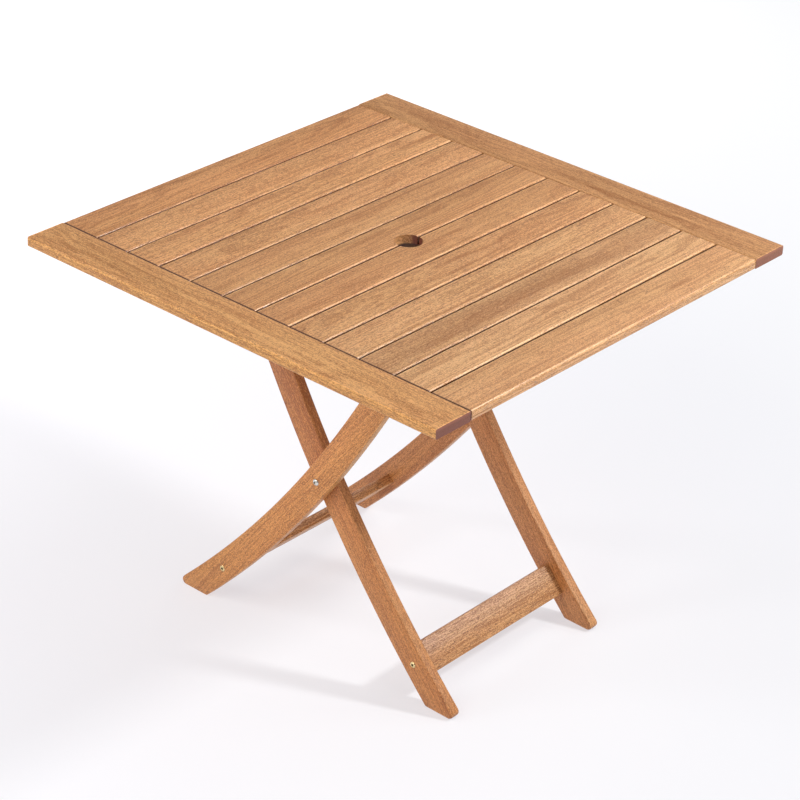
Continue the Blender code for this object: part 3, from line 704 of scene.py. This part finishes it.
def screw_mesh():
    """Countersunk screw that points up, its head's face just below height 0."""
    face = -SCREW_HEAD_PROUD
    shank_end = SCREW_HEAD_SINK + SCREW_SHANK_LENGTH
    outline = [(0.0, face), (SCREW_HEAD_RADIUS - SCREW_BEVEL, face),
               (SCREW_HEAD_RADIUS, face + SCREW_BEVEL),
               (SCREW_HEAD_RADIUS * SCREW_NECK, SCREW_HEAD_SINK),
               (SCREW_HEAD_RADIUS * SCREW_SHANK, shank_end), (0.0, shank_end + SCREW_TIP)]
    bm = bmesh.new()
    points = [bm.verts.new((r, 0, z)) for r, z in outline]
    lines = [bm.edges.new(pair) for pair in zip(points, points[1:])]
    bmesh.ops.spin(bm, geom=points + lines, cent=(0, 0, 0), axis=(0, 0, 1), angle=2 * pi,
                   steps=SCREW_SIDES, use_duplicate=False)
    bmesh.ops.remove_doubles(bm, verts=bm.verts, dist=WELD_DISTANCE)
    bmesh.ops.recalc_face_normals(bm, faces=bm.faces)
    return mesh_of(bm, "batten_screw")


def cross_mesh():
    """Cross-shaped solid that cuts the driver recess."""
    bm = bmesh.new()
    for turn in (0, pi / 2):
        arm = bmesh.ops.create_cube(bm, size=1.0)["verts"]
        bmesh.ops.scale(bm, vec=Vector(CROSS_SLOT), verts=arm)
        bmesh.ops.rotate(bm, cent=(0, 0, 0), matrix=Matrix.Rotation(turn, 3, "Z"), verts=arm)
    return mesh_of(bm, "cross_cutter")


def cut_cross(mesh):
    """The screw's mesh with its cross recess cut."""
    blank = add_object("screw_blank", mesh)
    cutter = add_object("cross_cutter", cross_mesh())
    modifier = blank.modifiers.new("recess", "BOOLEAN")
    modifier.operation = "DIFFERENCE"
    modifier.solver = "EXACT"
    modifier.use_self = True
    modifier.object = cutter
    bpy.context.view_layer.update()
    evaluated = blank.evaluated_get(bpy.context.evaluated_depsgraph_get())
    cut = bpy.data.meshes.new_from_object(evaluated)
    for obj in (blank, cutter):
        bpy.data.objects.remove(obj, do_unlink=True)
    return cut


def batten_underside(batten, x):
    """Height of the batten's lowest surface at x, or None where it isn't level."""
    hit, point, normal, _ = batten.ray_cast(Vector((x, centre_of(batten.name).y, 0)),
                                            Vector((0, 0, 1)))
    return point.z if hit and normal.z < -LEVEL else None


def add_batten_screws(material):
    """One screw up through each batten into each slat."""
    mesh = cut_cross(screw_mesh())
    mesh.materials.clear()
    mesh.materials.append(material)
    for end in ("front", "back"):
        batten = NODES["batten_" + end]
        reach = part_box(batten.name)[1].x - SCREW_EDGE_MARGIN
        for index in range(1, len(SLAT_LOOKS) + 1):
            x = max(-reach, min(reach, centre_of(f"slat_{index:02d}").x))
            z = batten_underside(batten, x)
            if z is None:
                raise ValueError(f"no level underside on {batten.name} at {x:.3f}")
            screw = add_object(f"batten_screw_{end}_{index:02d}", mesh)
            screw.location = (x, centre_of(batten.name).y, z)
            screw.rotation_euler = (0, 0, index * SCREW_TURN)
            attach(screw, "top")


# ---- studio --------------------------------------------------------------------------
def add_camera():
    back = Vector((sin(CAMERA_AZIMUTH) * cos(CAMERA_ELEVATION),
                   -cos(CAMERA_AZIMUTH) * cos(CAMERA_ELEVATION), sin(CAMERA_ELEVATION)))
    data = bpy.data.cameras.new("camera")
    data.lens = CAMERA_LENS
    data.sensor_width = SENSOR
    camera = add_object("camera", data)
    aim = (-back).to_track_quat("-Z", "Y").to_matrix().to_4x4()
    camera.matrix_world = (Matrix.Translation(CAMERA_TARGET + back * CAMERA_DISTANCE) @ aim
                           @ Matrix.Rotation(CAMERA_ROLL, 4, "Z"))
    bpy.context.scene.camera = camera


def add_softbox(name, azimuth, elevation, distance, size, brightness, colour):
    """Round softbox that faces the table.

    brightness is the share of full white it gives to a white surface that faces it.
    """
    away = Vector((cos(elevation) * cos(azimuth), cos(elevation) * sin(azimuth),
                   sin(elevation)))
    data = bpy.data.lights.new(name, "AREA")
    data.shape = "DISK"
    data.size = size
    data.color = colour
    data.energy = brightness * (pi * distance) ** 2
    lamp = add_object(name, data)
    lamp.location = LIGHTS_TARGET + away * distance
    lamp.rotation_euler = (-away).to_track_quat("-Z", "Y").to_euler()


def add_lights():
    """The softboxes, and a dim white world round them."""
    for name, (azimuth, elevation, *rest) in SOFTBOXES.items():
        add_softbox(name, radians(azimuth), radians(elevation), *rest)
    world = bpy.data.worlds.new("studio")
    world.use_nodes = True
    background = world.node_tree.nodes["Background"]
    background.inputs["Color"].default_value = rgba(STUDIO_TONE)
    background.inputs["Strength"].default_value = STUDIO_BRIGHTNESS
    bpy.context.scene.world = world
    bpy.context.scene.view_settings.view_transform = "Standard"


def floor_material():
    """Matt floor with a white glow, which keeps it near white and its shadows pale."""
    g = Graph("floor")
    g.shader.inputs["Base Color"].default_value = rgba(FLOOR_TONE)
    g.shader.inputs["Roughness"].default_value = 1.0
    g.shader.inputs["Specular IOR Level"].default_value = 0.0
    place = g.tree.nodes.new("ShaderNodeTexCoord").outputs["Object"]
    distance = g.vector_maths("LENGTH", place, output=1)
    glow = g.mix(g.ramp(distance, *FLOOR_GLOW_REACH), rgba(FLOOR_GLOW_NEAR),
                 rgba(FLOOR_GLOW_FAR))
    g.feed(g.shader.inputs["Emission Color"], glow)
    azimuth = radians(KEY_AZIMUTH)
    slope = (-FLOOR_GLOW_SLOPE * cos(azimuth), -FLOOR_GLOW_SLOPE * sin(azimuth), 0)
    away_from_key = g.vector_maths("DOT_PRODUCT", place, slope, output=1)
    gain = g.ramp(away_from_key, -FLOOR_GLOW_SPAN, FLOOR_GLOW_SPAN, *FLOOR_GLOW_GAIN)
    g.feed(g.shader.inputs["Emission Strength"], g.maths("ADD", 1.0, gain))
    return g.material


def add_floor():
    bm = bmesh.new()
    bmesh.ops.create_grid(bm, x_segments=1, y_segments=1, size=FLOOR_SIZE / 2)
    floor = add_object("floor", mesh_of(bm, "floor"))
    floor.data.materials.append(floor_material())


# ---- assembly ------------------------------------------------------------------------
add_camera()
add_lights()
add_floor()
dress_top()
dress_legs()
steel = dress_fasteners()
add_batten_screws(steel)
smoothing = smoothing_group()
for node in NODES.values():
    node.modifiers.new("smooth", "NODES").node_group = smoothing
